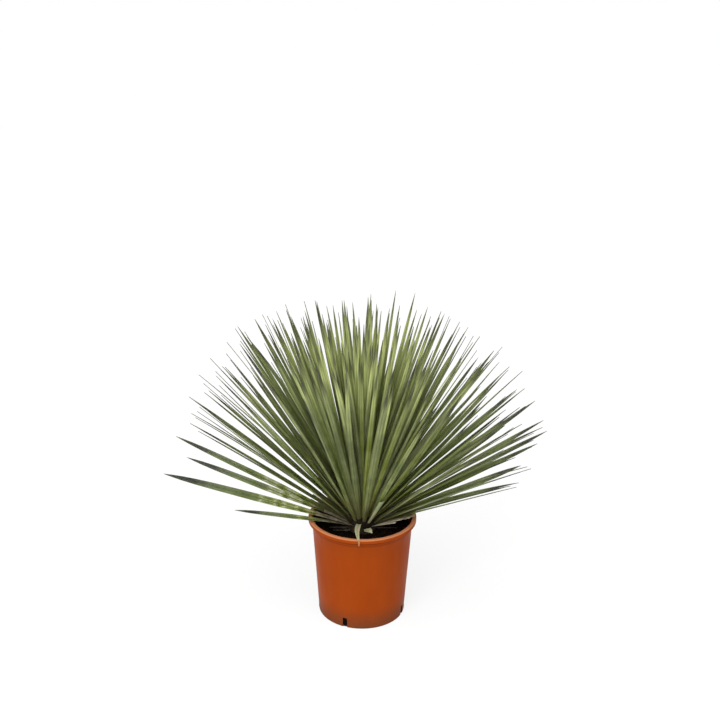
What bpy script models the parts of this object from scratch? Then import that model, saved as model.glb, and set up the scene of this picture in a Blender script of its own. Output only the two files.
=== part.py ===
"""Beaked yucca in its nursery pot: a rosette of stiff, keeled leaves on a short woody stem in peat."""
import math
import random
from functools import partial

import bmesh
import bpy
from mathutils import Matrix, Vector, noise

# Driving dimensions of the pot, in metres. The pot stands on z = 0 with its axis on x = y = 0.
POT_HEIGHT = 0.250
LIP_RADIUS = 0.130
LIP_HEIGHT = 0.0095
LIP_REACH = 0.0085  # how far the lip stands out from the wall below it
BASE_RADIUS = 0.105
WALL = 0.0018
FLOOR = 0.0030
FOOT_RECESS = 0.0012
FOOT_INNER, PAD_RADIUS = 0.088, 0.029  # the recess lies between the foot ring and the flat middle pad
SLOT_WIDTH, SLOT_HEIGHT, SLOT_COUNT = 0.0115, 0.026, 4
SLOT_BELOW = 0.004  # the cutter starts this far under the foot
SLOT_INNER, SLOT_OUTER = 0.1005, 0.122  # the slot cuts the wall and the floor's edge between these radii
SLOT_BEARING = -112  # degrees from +X: the slot that shows is 22 degrees left of the front
TURNED_STEPS = 60
GAP = 0.0003  # between pieces that touch

# Driving dimensions of the plant, in metres
SOIL_TOP = 0.2160
SOIL_UNEVEN = 0.0015
STEM_RADIUS = 0.033
STEM_TOP = 0.2235
STEM_BOTTOM = 0.130
STEM_STEPS = 30
CROWN = Vector((0, 0, 0.228))  # the point that all leaves spring from
CORE_RADIUS, CORE_RISE = 0.040, 0.048
ROOT_RADIUS, ROOT_CLIMB = 0.026, 0.022  # outer blades begin this far out, the inner ones this much higher
LEAF_COUNT = 292
LEAF_WIDTH = 0.0119
LEAF_NECK = 0.54  # width at the root, as a share of the greatest width
LEAF_FULL = 0.40  # share of the length at which the width is full
LEAF_NARROWING = 0.34  # share of the width that goes slowly, from there to the tip
LEAF_TAPER = 7  # how late and how fast the rest goes, into the spine
LEAF_LENGTH = 0.560
LOW_LOSS, TOP_LOSS = 0.22, 0.040  # how much shorter the lowest and the upright leaves are
LEAF_STATIONS = (0.38, 0.82)  # shares of its length at which a blade changes direction and width
KEEL_SHARE, KEEL_LEAST = 0.22, 0.0012  # thickness of a blade at its keel, by its width and at the least
TWIST_FULL = 0.5  # the share of its length by which a leaf has turned to its own facing
GOLDEN_ANGLE = 137.508
CROWDING = 0.78  # below 1, the leaves stand closer towards the top of the rosette
LEAF_SEED, DRY_SEED = 572, 18  # one for the green leaves, one for the old ones

# Lowest elevations of the rosette's leaves, in degrees: at the sides, in front and at the back
SIDE_RISE, FRONT_RISE, BACK_RISE = 23.1, 59, 26
RIGHT_LOWER = 7.1  # the right side hangs lower than the left by twice this
RISE_FALLOFF = 1.5
LEAST_RISE = 17.5  # clears the pot's rim
RISE_SCATTER, BEARING_SCATTER, TWIST_SCATTER = 2.1, 2.1, 23  # degrees
LENGTH_SCATTER, WIDTH_SCATTER = 0.027, 0.09  # shares
DROOP, DROOP_SCATTER, SWEEP_SCATTER = 0.03, 0.018, 0.03  # a tip's shift, as a share of its length
BENT_SHARE, BENT_DROOP = 0.06, 0.085  # a few leaves hang at the tip

# The leaves that stand clear of the rest: bearing, rise, length, greatest width, twist and droop
OUTER_LEAVES = (
    (190, 20.5, 0.492, 0.0190, -65, 0.02),
    (171, 18.8, 0.457, 0.0160, -60, 0.02),
    (173, 24.8, 0.497, 0.0150, -55, 0.02),
    (166, 34.0, 0.487, 0.0140, -30, 0.02),
    (199, 16.0, 0.322, 0.0125, -35, 0.02),
    (10, 17.0, 0.412, 0.0170, 60, -0.01),
    (0.5, 21.5, 0.381, 0.0130, 40, -0.01),
    (9, 25.5, 0.500, 0.0145, 40, 0),
    (14, 20.5, 0.475, 0.0140, 40, 0),
    (2, 32.0, 0.500, 0.0150, 30, 0),
    (12, 34.0, 0.512, 0.0150, 30, 0),
)

# Old leaves of the head that were cut short: their number, the bearings that they lie between, and the
# least and greatest rise, length and width. One more stands up among the green leaves.
OLD_LEAF_COUNT = 34
OLD_LEAF_BEARINGS = (-46, 222)
OLD_LEAF_RISE, OLD_LEAF_LENGTH, OLD_LEAF_WIDTH = (15.3, 23.5), (0.085, 0.132), (0.008, 0.013)
OLD_BACK_RISE, OLD_BACK_LENGTH = 3, 0.045  # how much more the ones at the back rise and reach
CUT_LEAF_RIGHT = (-69.5, 42.5, 0.168, 0.0115)
CUT_LEAF_NECK = 0.45  # width at the root, as a share of the width at the blunt end

# Brown leaf bases that lie over the peat. They leave the stem between the peat and the core's foot.
DRY_BASE_COUNT = 16
DRY_BASE_HEIGHT = 0.2206
DRY_BASE_END, DRY_BASE_HALF, DRY_BASE_RISE = (0.078, 0.106), (0.0035, 0.0055), (0.004, 0.016)
DRY_BASE_FREE = (225, 325)  # none grows between these bearings, where the cut leaves are

# The pale leaf that hangs over the front of the rim: distance from the axis, bearing, height and half width
FRONT_LEAF = (
    (0.0378, -102.5, 0.2437, 0.0058), (0.060, -100.4, 0.2477, 0.0062), (0.090, -97.9, 0.2507, 0.0052),
    (0.118, -95, 0.2516, 0.0032), (0.1300, -93.9, 0.2511, 0.0026), (0.1342, -93.3, 0.2473, 0.0023),
    (0.1362, -93.3, 0.2385, 0.0010),
)
STUB_LEAF = ((0.0402, -84, 0.2290, 0.0025), (0.0545, -66, 0.2345, 0.0075))  # the same for the stub


def collection(name, hidden=False):
    group = bpy.data.collections.new(name)
    group.hide_render = hidden
    bpy.context.scene.collection.children.link(group)
    return group


def material(name, colour, roughness):
    made = bpy.data.materials.new(name)
    made.use_nodes = True
    shader = made.node_tree.nodes["Principled BSDF"]
    shader.inputs["Base Color"].default_value = (*colour, 1.0)
    shader.inputs["Roughness"].default_value = roughness
    shader.inputs["Metallic"].default_value = 0.0
    made.diffuse_color = (*colour, 1.0)
    return made


def add_object(name, mesh, group, finish=None):
    obj = bpy.data.objects.new(name, mesh)
    group.objects.link(obj)
    if finish:
        mesh.materials.append(finish)
    return obj


def turned(name, profile, group, finish, steps=TURNED_STEPS):
    """A solid of revolution round Z from (radius, height) points down its outer side."""
    mesh = bpy.data.meshes.new(name)
    mesh.from_pydata([(r, 0, z) for r, z in profile], [(i, i + 1) for i in range(len(profile) - 1)], [])
    obj = add_object(name, mesh, group, finish)
    screw = obj.modifiers.new("Turn", "SCREW")
    screw.axis = "Z"
    screw.angle = math.tau
    screw.steps = screw.render_steps = steps
    screw.use_merge_vertices = True
    screw.merge_threshold = 0.00005
    screw.use_smooth_shade = True
    return obj


def apply_modifiers(obj):
    """Puts the object's evaluated shape in its mesh and drops the modifiers."""
    graph = bpy.context.evaluated_depsgraph_get()
    mesh = bpy.data.meshes.new_from_object(obj.evaluated_get(graph))
    obj.modifiers.clear()
    obj.data = mesh


def wall_radius(z):
    """Outer radius of the pot's tapered wall at height z."""
    top = LIP_RADIUS - LIP_REACH
    return BASE_RADIUS + (top - BASE_RADIUS) * z / (POT_HEIGHT - LIP_HEIGHT)


def make_pot(group, cutters):
    lip = LIP_RADIUS
    wall_top = lip - LIP_REACH
    under = POT_HEIGHT - WALL
    lip_low = POT_HEIGHT - LIP_HEIGHT
    profile = [
        (0, FLOOR),
        (wall_radius(FLOOR) - WALL - 0.002, FLOOR),
        (wall_radius(0.005) - WALL, FLOOR + 0.002),
        (wall_radius(lip_low) - WALL, lip_low),
        (wall_top - WALL + 0.0006, under - 0.0005),
        (wall_top + 0.0008, POT_HEIGHT),
        (lip - 0.0022, POT_HEIGHT),
        (lip - 0.0005, POT_HEIGHT - 0.0008),
        (lip, POT_HEIGHT - 0.0026),
        (lip, lip_low),
        (lip - WALL, lip_low),
        (lip - WALL, under - 0.0012),
        (lip - WALL - 0.0012, under),
        (wall_top + 0.0014, under),
        (wall_top, under - 0.0016),
        (wall_radius(0.004), 0.004),
        (wall_radius(0.001) - 0.0010, 0.0010),
        (wall_radius(0) - 0.0032, 0),
        (FOOT_INNER, 0),
        (FOOT_INNER - 0.0012, FOOT_RECESS),
        (PAD_RADIUS + 0.0012, FOOT_RECESS),
        (PAD_RADIUS, 0),
        (0, 0),
    ]
    pot = turned("pot", profile, group, material("terracotta_plastic", (0.39, 0.072, 0.014), 0.42))
    for i in range(SLOT_COUNT):
        mesh = bpy.data.meshes.new("slot_cutter")
        shape = bmesh.new()
        bmesh.ops.create_cube(shape, size=1)
        reach = SLOT_OUTER - SLOT_INNER
        middle = (SLOT_INNER + reach / 2, 0, (SLOT_HEIGHT - SLOT_BELOW) / 2)
        bmesh.ops.scale(shape, verts=shape.verts, vec=(reach, SLOT_WIDTH, SLOT_HEIGHT + SLOT_BELOW))
        bmesh.ops.translate(shape, verts=shape.verts, vec=middle)
        turn = Matrix.Rotation(math.radians(SLOT_BEARING + i * 360 / SLOT_COUNT), 3, "Z")
        bmesh.ops.rotate(shape, verts=shape.verts, matrix=turn)
        shape.to_mesh(mesh)
        shape.free()
        cutter = add_object(f"slot_cutter_{i + 1}", mesh, cutters)
        cutter.hide_render = True
        cutter.display_type = "WIRE"
        cut = pot.modifiers.new(f"Slot {i + 1}", "BOOLEAN")
        cut.operation = "DIFFERENCE"
        cut.object = cutter
    return pot


def make_soil(group):
    """The peat fills the pot, just clear of its wall, and has a plain hole for the stem."""
    hole = STEM_RADIUS + GAP
    edge = SOIL_TOP - 0.0045
    low = FLOOR + GAP
    wall_gap = WALL + GAP * 1.5
    profile = [
        (0, STEM_BOTTOM - GAP),
        (hole, STEM_BOTTOM - GAP),
        (hole, SOIL_TOP - 0.0030),
        (hole + 0.003, SOIL_TOP - 0.0014),
        (0.055, SOIL_TOP),
        (0.080, SOIL_TOP),
        (0.102, SOIL_TOP - 0.0010),
        (wall_radius(edge) - wall_gap - 0.002, SOIL_TOP - 0.0020),
        (wall_radius(edge) - wall_gap, edge),
        (wall_radius(low + 0.004) - wall_gap, low + 0.004),
        (wall_radius(low) - wall_gap - 0.003, low),
        (0, low),
    ]
    soil = turned("soil", profile, group, material("peat", (0.016, 0.008, 0.004), 0.95))
    apply_modifiers(soil)
    for vertex in soil.data.vertices:
        radius = math.hypot(vertex.co.x, vertex.co.y)
        if vertex.co.z > SOIL_TOP - 0.0015 and radius > hole + 0.002:
            vertex.co.z += SOIL_UNEVEN * noise.noise(vertex.co * 60)
    return soil


def drop_loose_and_sealed(shape):
    """Keeps the largest body of a bmesh: sealed hollows are filled and loose scraps are dropped."""
    unseen = set(shape.faces)
    bodies = []
    while unseen:
        stack = [unseen.pop()]
        body = set(stack)
        while stack:
            for edge in stack.pop().edges:
                for face in edge.link_faces:
                    if face in unseen:
                        unseen.remove(face)
                        body.add(face)
                        stack.append(face)
        bodies.append(body)
    bodies.sort(key=len)
    for body in bodies[:-1]:
        bmesh.ops.delete(shape, geom=list(body), context="FACES")


def join_with(base, repeats):
    """Fuses every object of a collection to the base, then removes them."""
    union = base.modifiers.new("Join", "BOOLEAN")
    union.operation = "UNION"
    union.operand_type = "COLLECTION"
    union.collection = repeats
    union.solver = "MANIFOLD"
    apply_modifiers(base)
    for obj in list(repeats.objects):
        bpy.data.objects.remove(obj)
    bpy.data.collections.remove(repeats)
    shape = bmesh.new()
    shape.from_mesh(base.data)
    bmesh.ops.triangulate(shape, faces=shape.faces)
    drop_loose_and_sealed(shape)
    shape.to_mesh(base.data)
    shape.free()


def make_stem(group):
    """The woody stem stands in the hole in the peat, with old leaf bases left round its top."""
    profile = [
        (0, STEM_TOP),
        (STEM_RADIUS - 0.003, STEM_TOP),
        (STEM_RADIUS, STEM_TOP - 0.002),
        (STEM_RADIUS, STEM_TOP - 0.030),
        (STEM_RADIUS - 0.002, STEM_BOTTOM + 0.020),
        (STEM_RADIUS - 0.012, STEM_BOTTOM),
        (0, STEM_BOTTOM),
    ]
    brown = material("dry_brown_stem", (0.085, 0.055, 0.028), 0.85)
    stem = turned("stem", profile, group, brown, STEM_STEPS)
    apply_modifiers(stem)
    draw = random.Random(DRY_SEED + 1)
    bases = collection("dry_bases")
    for i in range(DRY_BASE_COUNT):
        bearing = (i + 0.5) * 360 / DRY_BASE_COUNT + draw.uniform(-7, 7)
        end, half = draw.uniform(*DRY_BASE_END), draw.uniform(*DRY_BASE_HALF)
        rise, turn = draw.uniform(*DRY_BASE_RISE), draw.uniform(-6, 6)
        if DRY_BASE_FREE[0] < bearing < DRY_BASE_FREE[1]:
            continue
        root, neck = STEM_RADIUS - 0.006, CORE_RADIUS + 0.004
        points = (
            (root, bearing, DRY_BASE_HEIGHT, half),
            (neck, bearing, DRY_BASE_HEIGHT, half),
            (end, bearing + turn, DRY_BASE_HEIGHT + rise, half * 0.35),
        )
        section, stations = ribbon(points, Vector((0, 0, 1)))
        add_object("dry_base", blade_mesh(section, stations, pointed=False), bases)
    join_with(stem, bases)
    return stem


def blade_width(s):
    """Width of a leaf at the share s of its length, as a share of its greatest width."""
    if s < LEAF_FULL:
        return LEAF_NECK + (1 - LEAF_NECK) * math.sin(math.pi / 2 * s / LEAF_FULL)
    outer = (s - LEAF_FULL) / (1 - LEAF_FULL)
    return (1 - LEAF_NARROWING * outer ** 1.3) * (1 - outer ** LEAF_TAPER)


def lowest_rise(bearing):
    """The lowest elevation of the rosette's leaves at a bearing."""
    turn = math.radians(bearing)
    front = max(0, -math.sin(turn)) ** RISE_FALLOFF
    back = max(0, math.sin(turn)) ** RISE_FALLOFF
    side = SIDE_RISE - RIGHT_LOWER * math.cos(turn)
    return side + (FRONT_RISE - SIDE_RISE) * front + (BACK_RISE - SIDE_RISE) * back


def leaf_layout():
    """Every green leaf, from the lowest turn of the golden spiral to the spear leaves in the middle."""
    draw = random.Random(LEAF_SEED)
    leaves = []
    for i in range(LEAF_COUNT):
        bearing = (i * GOLDEN_ANGLE) % 360
        low = math.sin(math.radians(lowest_rise(bearing)))
        height = low + (1 - low) * ((i + 0.5) / LEAF_COUNT) ** CROWDING
        rise = math.degrees(math.asin(min(0.9995, height))) + draw.gauss(0, RISE_SCATTER)
        rise = max(LEAST_RISE, rise)
        level = math.cos(math.radians(rise))
        bearing += draw.gauss(0, BEARING_SCATTER) / max(0.25, level)
        lean = max(0, (90 - rise) / 75)
        length = LEAF_LENGTH - LOW_LOSS * lean ** 3 - TOP_LOSS * max(0, 1 - lean * 2.5)
        length *= 1 + draw.gauss(0, LENGTH_SCATTER)
        width = LEAF_WIDTH * (1 + draw.gauss(0, WIDTH_SCATTER))
        twist = draw.gauss(0, TWIST_SCATTER)
        droop = DROOP * level + draw.gauss(0, DROOP_SCATTER)
        if draw.random() < BENT_SHARE:
            droop += BENT_DROOP * level
        sweep = draw.gauss(0, SWEEP_SCATTER)
        leaves.append((bearing, rise, length, width, twist, droop, sweep))
    return leaves + [(*leaf, 0) for leaf in OUTER_LEAVES]


def old_leaf_layout():
    """Bearing, rise, length and width of the leaves that were cut short."""
    draw = random.Random(DRY_SEED + 3)
    start, end = OLD_LEAF_BEARINGS
    leaves = [CUT_LEAF_RIGHT]
    for i in range(OLD_LEAF_COUNT):
        bearing = start + (i + 0.5) * (end - start) / OLD_LEAF_COUNT + draw.uniform(-5, 5)
        back = max(0, math.sin(math.radians(bearing)))
        rise = draw.uniform(*OLD_LEAF_RISE) + OLD_BACK_RISE * back
        length = draw.uniform(*OLD_LEAF_LENGTH) + OLD_BACK_LENGTH * back
        leaves.append((bearing, rise, length, draw.uniform(*OLD_LEAF_WIDTH)))
    return leaves


def leaf_root(bearing, rise):
    """Where a leaf begins: the outer leaves low round the crown, the inner ones higher up in its middle."""
    turn, low = math.radians(bearing), math.sin(math.radians(lowest_rise(bearing)))
    inner = max(0, min(1, (math.sin(math.radians(rise)) - low) / (1 - low)))
    reach = ROOT_RADIUS * (1 - inner)
    return CROWN + Vector((reach * math.cos(turn), reach * math.sin(turn), ROOT_CLIMB * inner))


def leaf_section(leaf, s):
    """A leaf's centre, sideways and upward directions and half width at the share s of its length."""
    bearing, rise, length, width, twist, droop, sweep = leaf
    a, e = math.radians(bearing), math.radians(rise)
    along = Vector((math.cos(a) * math.cos(e), math.sin(a) * math.cos(e), math.sin(e)))
    side = Vector((-math.sin(a), math.cos(a), 0))
    up = Vector((-math.cos(a) * math.sin(e), -math.sin(a) * math.sin(e), math.cos(e)))
    centre = leaf_root(bearing, rise).lerp(CROWN + along * length, s)
    centre += (side * sweep - up * droop) * (s * s * length)
    turn = math.radians(twist) * min(1, s / TWIST_FULL) ** 2
    across = side * math.cos(turn) + up * math.sin(turn)
    return centre, across, up * math.cos(turn) - side * math.sin(turn), width * blade_width(s) / 2


def cut_leaf_section(leaf, s):
    """The same for a straight leaf that was cut short, which widens to its blunt end."""
    bearing, rise, length, width = leaf
    centre, across, up, _ = leaf_section((bearing, rise, length, width, 0, 0, 0), s)
    return centre, across, up, width * (CUT_LEAF_NECK + (1 - CUT_LEAF_NECK) * s) / 2


def ribbon(points, top):
    """A section function through (distance, bearing, height, half width) points, and their shares."""
    turns = [math.radians(bearing) for _, bearing, _, _ in points]
    places = [Vector((p[0] * math.cos(a), p[0] * math.sin(a), p[2])) for p, a in zip(points, turns)]
    steps = len(points) - 1

    def section(s):
        i = round(s * steps)
        along = (places[min(i + 1, steps)] - places[max(i - 1, 0)]).normalized()
        across = top.cross(along).normalized() if abs(along.dot(top)) < 0.9 else Vector((1, 0, 0))
        return places[i], across, along.cross(across), points[i][3]

    return section, [i / steps for i in range(1, steps)]


def blade_mesh(section, stations, pointed=True):
    """A keeled blade: a three-sided cone cut at the stations, with two margins and a keel."""
    shape = bmesh.new()
    bmesh.ops.create_cone(shape, cap_ends=True, segments=3, radius1=1, radius2=0 if pointed else 1, depth=1)
    bmesh.ops.remove_doubles(shape, verts=shape.verts, dist=0.001)
    bmesh.ops.translate(shape, verts=shape.verts, vec=(0, 0, 0.5))
    for s in stations:
        whole = shape.verts[:] + shape.edges[:] + shape.faces[:]
        bmesh.ops.bisect_plane(shape, geom=whole, plane_co=(0, 0, s), plane_no=(0, 0, 1), dist=0.0001)
    for vertex in shape.verts:
        centre, across, up, half = section(vertex.co.z)
        keel = max(KEEL_LEAST, KEEL_SHARE * 2 * half)
        offset = vertex.co.to_2d()
        if offset.length < 0.01:
            vertex.co = centre
        elif abs(offset.x) < 0.01:
            vertex.co = centre - up * keel * 2 / 3
        else:
            vertex.co = centre + across * math.copysign(half, offset.x) + up * keel / 3
    bmesh.ops.triangulate(shape, faces=shape.faces)
    bmesh.ops.recalc_face_normals(shape, faces=shape.faces)
    mesh = bpy.data.meshes.new("blade")
    shape.to_mesh(mesh)
    shape.free()
    return mesh


def make_leaf_head(group):
    """The growing core, every green leaf and the old leaves that were cut short, fused in one body."""
    mesh = bpy.data.meshes.new("leaf_head")
    shape = bmesh.new()
    bmesh.ops.create_uvsphere(shape, u_segments=16, v_segments=10, radius=1)
    bmesh.ops.scale(shape, verts=shape.verts, vec=(CORE_RADIUS, CORE_RADIUS, CORE_RISE))
    bmesh.ops.translate(shape, verts=shape.verts, vec=CROWN)
    foot = bmesh.ops.bisect_plane(
        shape, geom=shape.verts[:] + shape.edges[:] + shape.faces[:],
        plane_co=(0, 0, STEM_TOP + GAP), plane_no=(0, 0, -1), clear_outer=True,
    )
    bmesh.ops.holes_fill(shape, edges=[e for e in foot["geom_cut"] if isinstance(e, bmesh.types.BMEdge)])
    bmesh.ops.recalc_face_normals(shape, faces=shape.faces)
    shape.to_mesh(mesh)
    shape.free()
    head = add_object("leaf_head", mesh, group, material("living_leaf", (0.118, 0.140, 0.048), 0.55))
    blades = collection("blades")
    for leaf in leaf_layout():
        add_object("blade", blade_mesh(partial(leaf_section, leaf), LEAF_STATIONS), blades)
    for leaf in old_leaf_layout():
        add_object("old_blade", blade_mesh(partial(cut_leaf_section, leaf), (), pointed=False), blades)
    join_with(head, blades)
    return head


def make_cut_leaves(group):
    """The two pale leaves in front: one hangs over the rim, the other is a stub that stands on edge."""
    pale = material("dry_pale_leaf", (0.40, 0.40, 0.25), 0.7)
    section, stations = ribbon(FRONT_LEAF, Vector((0, 0, 1)))
    add_object("cut_leaf_front", blade_mesh(section, stations, pointed=False), group, pale)
    section, stations = ribbon(STUB_LEAF, Vector((0.35, -0.93, 0.1)).normalized())
    add_object("cut_leaf_stub", blade_mesh(section, stations, pointed=False), group, pale)


def main():
    for obj in list(bpy.data.objects):
        bpy.data.objects.remove(obj)
    group = collection("beaked_yucca")
    cutters = collection("cutters", hidden=True)
    make_pot(group, cutters)
    make_soil(group)
    make_stem(group)
    make_leaf_head(group)
    make_cut_leaves(group)


main()
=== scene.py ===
"""Beaked yucca in a terracotta-coloured nursery pot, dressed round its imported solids."""
import math
import random

import bmesh
import bpy
from mathutils import Matrix, Vector, noise


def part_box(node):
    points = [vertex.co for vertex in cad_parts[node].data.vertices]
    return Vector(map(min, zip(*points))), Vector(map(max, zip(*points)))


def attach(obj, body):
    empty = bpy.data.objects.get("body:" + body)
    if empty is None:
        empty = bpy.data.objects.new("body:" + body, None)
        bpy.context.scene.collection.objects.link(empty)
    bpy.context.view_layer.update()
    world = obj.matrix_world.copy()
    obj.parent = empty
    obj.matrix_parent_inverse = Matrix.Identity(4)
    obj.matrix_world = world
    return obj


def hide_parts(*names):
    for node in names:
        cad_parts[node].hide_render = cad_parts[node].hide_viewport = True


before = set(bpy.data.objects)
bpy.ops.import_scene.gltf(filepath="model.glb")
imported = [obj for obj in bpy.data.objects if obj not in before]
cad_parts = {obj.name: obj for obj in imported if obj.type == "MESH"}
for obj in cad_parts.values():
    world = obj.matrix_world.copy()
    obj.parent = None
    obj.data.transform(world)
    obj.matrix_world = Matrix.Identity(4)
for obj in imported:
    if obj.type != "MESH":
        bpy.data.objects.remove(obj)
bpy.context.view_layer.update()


# The pot
# A nursery pot, injection moulded in one piece from terracotta-coloured polypropylene. Its lip is
# rolled outwards and down, its wall tapers to a foot ring, and four drain slots are cut in the foot.

POT_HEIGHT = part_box("pot")[1].z
LIP_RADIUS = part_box("pot")[1].x
LIP_HEIGHT, LIP_REACH = 0.0095, 0.0085  # how far the lip hangs down and stands out
LIP_OUTER_ROUND, LIP_INNER_ROUND, LIP_EDGE = 0.0026, 0.0020, 0.0004
ROLL_OUTER_ROUND, ROLL_INNER_ROUND = 0.0012, 0.0014  # in the hollow under the lip
BASE_RADIUS, FOOT_ROUND = 0.105, 0.0032
WALL, FLOOR = 0.0018, 0.0030
STEP_DROP, STEP_RISE, STEP_DEPTH = 0.021, 0.0012, 0.0006  # the wall steps in a little under the lip
FOOT_RECESS, FOOT_INNER, PAD_RADIUS = 0.0012, 0.088, 0.029  # between a foot ring and a flat middle pad
GATE_RADIUS, GATE_DEPTH = 0.003, 0.0005  # the dimple that the mould's gate left under the pot
SLOT_WIDTH, SLOT_HEIGHT, SLOT_ROUND = 0.0115, 0.026, 0.0025
SLOT_COUNT, SLOT_BEARING = 4, -112  # the slot that shows is 22 degrees left of the front
SLOT_INNER, SLOT_OUTER, SLOT_BELOW = 0.1005, 0.122, 0.004  # the cutter's reach, and its start under the foot
POT_STEPS = 160
FLOW_SIZE, SPECK_SIZE, GRAIN_SIZE = 0.030, 0.004, 0.0015
FOOT_DUST_AND_SHADE, LIP_SHADE_REACH, INSIDE_SHADE_REACH = 0.062, 0.0085, 0.012  # how far up or down the foot's dust and painted shade, the painted shade under the lip and the painted shade inside the wall reach
# The pale terracotta paints a highlight along the top of the lip.
TERRACOTTA, TERRACOTTA_HIGHLIGHT, TERRACOTTA_DEEP = "#86370A", "#B0724E", "#7D3107"
# The first of these is peat dust and painted shade low on the foot, and the other two are painted shade,
# inside the wall and under the lip.
PEAT_DUST_AND_SHADE, INSIDE_SHADE, UNDER_LIP_SHADE = "#4E3220", "#341A0E", "#461200"


def srgb(code):
    """The linear colour, with alpha, of an sRGB hex code."""
    channels = [int(code[i:i + 2], 16) / 255 for i in (1, 3, 5)]
    return (*[c / 12.92 if c <= 0.04045 else ((c + 0.055) / 1.055) ** 2.4 for c in channels], 1.0)


def new_material(name, roughness, gloss):
    """A material with one Principled shader, and that shader and its tree."""
    material = bpy.data.materials.new(name)
    material.use_nodes = True
    shader = material.node_tree.nodes["Principled BSDF"]
    shader.inputs["Roughness"].default_value = roughness
    shader.inputs["Specular IOR Level"].default_value = gloss
    return material, material.node_tree, shader


def add_node(tree, kind, settings, inputs):
    """Adds a node, sets its properties, and gives each input a value or another node's output.

    A node's inputs go by name or by number: on one that mixes colours, 0 is the share and 6 and 7 are the
    colours, and on one that mixes plain values, 2 and 3 are the values.
    """
    node = tree.nodes.new(kind)
    for name, value in settings.items():
        setattr(node, name, value)
    for name, value in inputs.items():
        if isinstance(value, bpy.types.NodeSocket):
            tree.links.new(value, node.inputs[name])
        else:
            node.inputs[name].default_value = value
    return node


def add_piece(name, shape, material, sharp=30):
    """An object at the origin from a bmesh, shaded smooth up to an angle in degrees."""
    mesh = bpy.data.meshes.new(name)
    shape.to_mesh(mesh)
    shape.free()
    mesh.materials.append(material)
    mesh.shade_smooth()
    mesh.set_sharp_from_angle(angle=math.radians(sharp))
    piece = bpy.data.objects.new(name, mesh)
    bpy.context.scene.collection.objects.link(piece)
    return piece


def spun(profile, steps):
    """A bmesh turned round Z from (radius, height) points, with its seam and poles closed."""
    shape = bmesh.new()
    verts = [shape.verts.new((r, 0, z)) for r, z in profile]
    edges = [shape.edges.new(pair) for pair in zip(verts, verts[1:])]
    bmesh.ops.spin(
        shape, geom=verts + edges, cent=(0, 0, 0), axis=(0, 0, 1), dvec=(0, 0, 0),
        angle=math.tau, steps=steps, use_merge=True, use_duplicate=False,
    )
    bmesh.ops.remove_doubles(shape, verts=shape.verts, dist=0.00002)
    bmesh.ops.dissolve_degenerate(shape, edges=shape.edges, dist=0.00001)
    bmesh.ops.recalc_face_normals(shape, faces=shape.faces)
    return shape


def arc(centre, radius, start, end, steps):
    """Points of a round stretch of a profile, its angles in degrees from straight out."""
    angles = [math.radians(start + (end - start) * i / steps) for i in range(steps + 1)]
    return [(centre[0] + radius * math.cos(a), centre[1] + radius * math.sin(a)) for a in angles]


WALL_SLOPE = (LIP_RADIUS - LIP_REACH - BASE_RADIUS) / (POT_HEIGHT - LIP_HEIGHT)


def wall_radius(z):
    """Outer radius of the pot's tapered wall at height z."""
    return BASE_RADIUS + WALL_SLOPE * z


wall_top = LIP_RADIUS - LIP_REACH
lip_low = POT_HEIGHT - LIP_HEIGHT
lip_inside = LIP_RADIUS - WALL
lip_underside = POT_HEIGHT - WALL
step_height = POT_HEIGHT - STEP_DROP
pot_profile = [
    # The floor and the inside of the wall
    (0, FLOOR), (0.05, FLOOR), (wall_radius(FLOOR) - WALL - 0.0025, FLOOR),
    (wall_radius(0.004) - WALL - 0.0006, FLOOR + 0.0006), (wall_radius(0.006) - WALL, FLOOR + 0.0030),
    *[(wall_radius(z) - WALL, z) for z in (0.05, 0.11, 0.17, 0.215, lip_low)],
    (wall_top - WALL + 0.0002, POT_HEIGHT - 0.0036),
    # Over the lip and round its rolled edge
    *arc((wall_top + 0.0006, POT_HEIGHT - LIP_INNER_ROUND), LIP_INNER_ROUND, 170, 90, 5),
    *arc((LIP_RADIUS - LIP_OUTER_ROUND, POT_HEIGHT - LIP_OUTER_ROUND), LIP_OUTER_ROUND, 90, 0, 6),
    (LIP_RADIUS, lip_low + LIP_EDGE), (LIP_RADIUS - LIP_EDGE, lip_low),
    (lip_inside + LIP_EDGE, lip_low), (lip_inside, lip_low + LIP_EDGE),
    *arc((lip_inside - ROLL_OUTER_ROUND, lip_underside - ROLL_OUTER_ROUND), ROLL_OUTER_ROUND, 0, 90, 3),
    *arc((wall_top + ROLL_INNER_ROUND, lip_underside - ROLL_INNER_ROUND), ROLL_INNER_ROUND, 90, 180, 3),
    # Down the outside of the wall
    (wall_radius(step_height + STEP_RISE), step_height + STEP_RISE),
    (wall_radius(step_height) - STEP_DEPTH, step_height),
    *[(wall_radius(z) - STEP_DEPTH, z) for z in (0.19, 0.15, 0.11, 0.07, 0.035, 0.012)],
    (wall_radius(0.006), 0.006),
    *arc((wall_radius(0) - FOOT_ROUND, FOOT_ROUND), FOOT_ROUND, 0, -90, 5),
    # Over the foot ring and the middle pad under the pot
    (FOOT_INNER, 0), (FOOT_INNER - FOOT_RECESS, FOOT_RECESS),
    (PAD_RADIUS + FOOT_RECESS, FOOT_RECESS), (PAD_RADIUS, 0),
    (GATE_RADIUS, 0), (GATE_RADIUS - GATE_DEPTH, GATE_DEPTH), (0, GATE_DEPTH),
]


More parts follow.
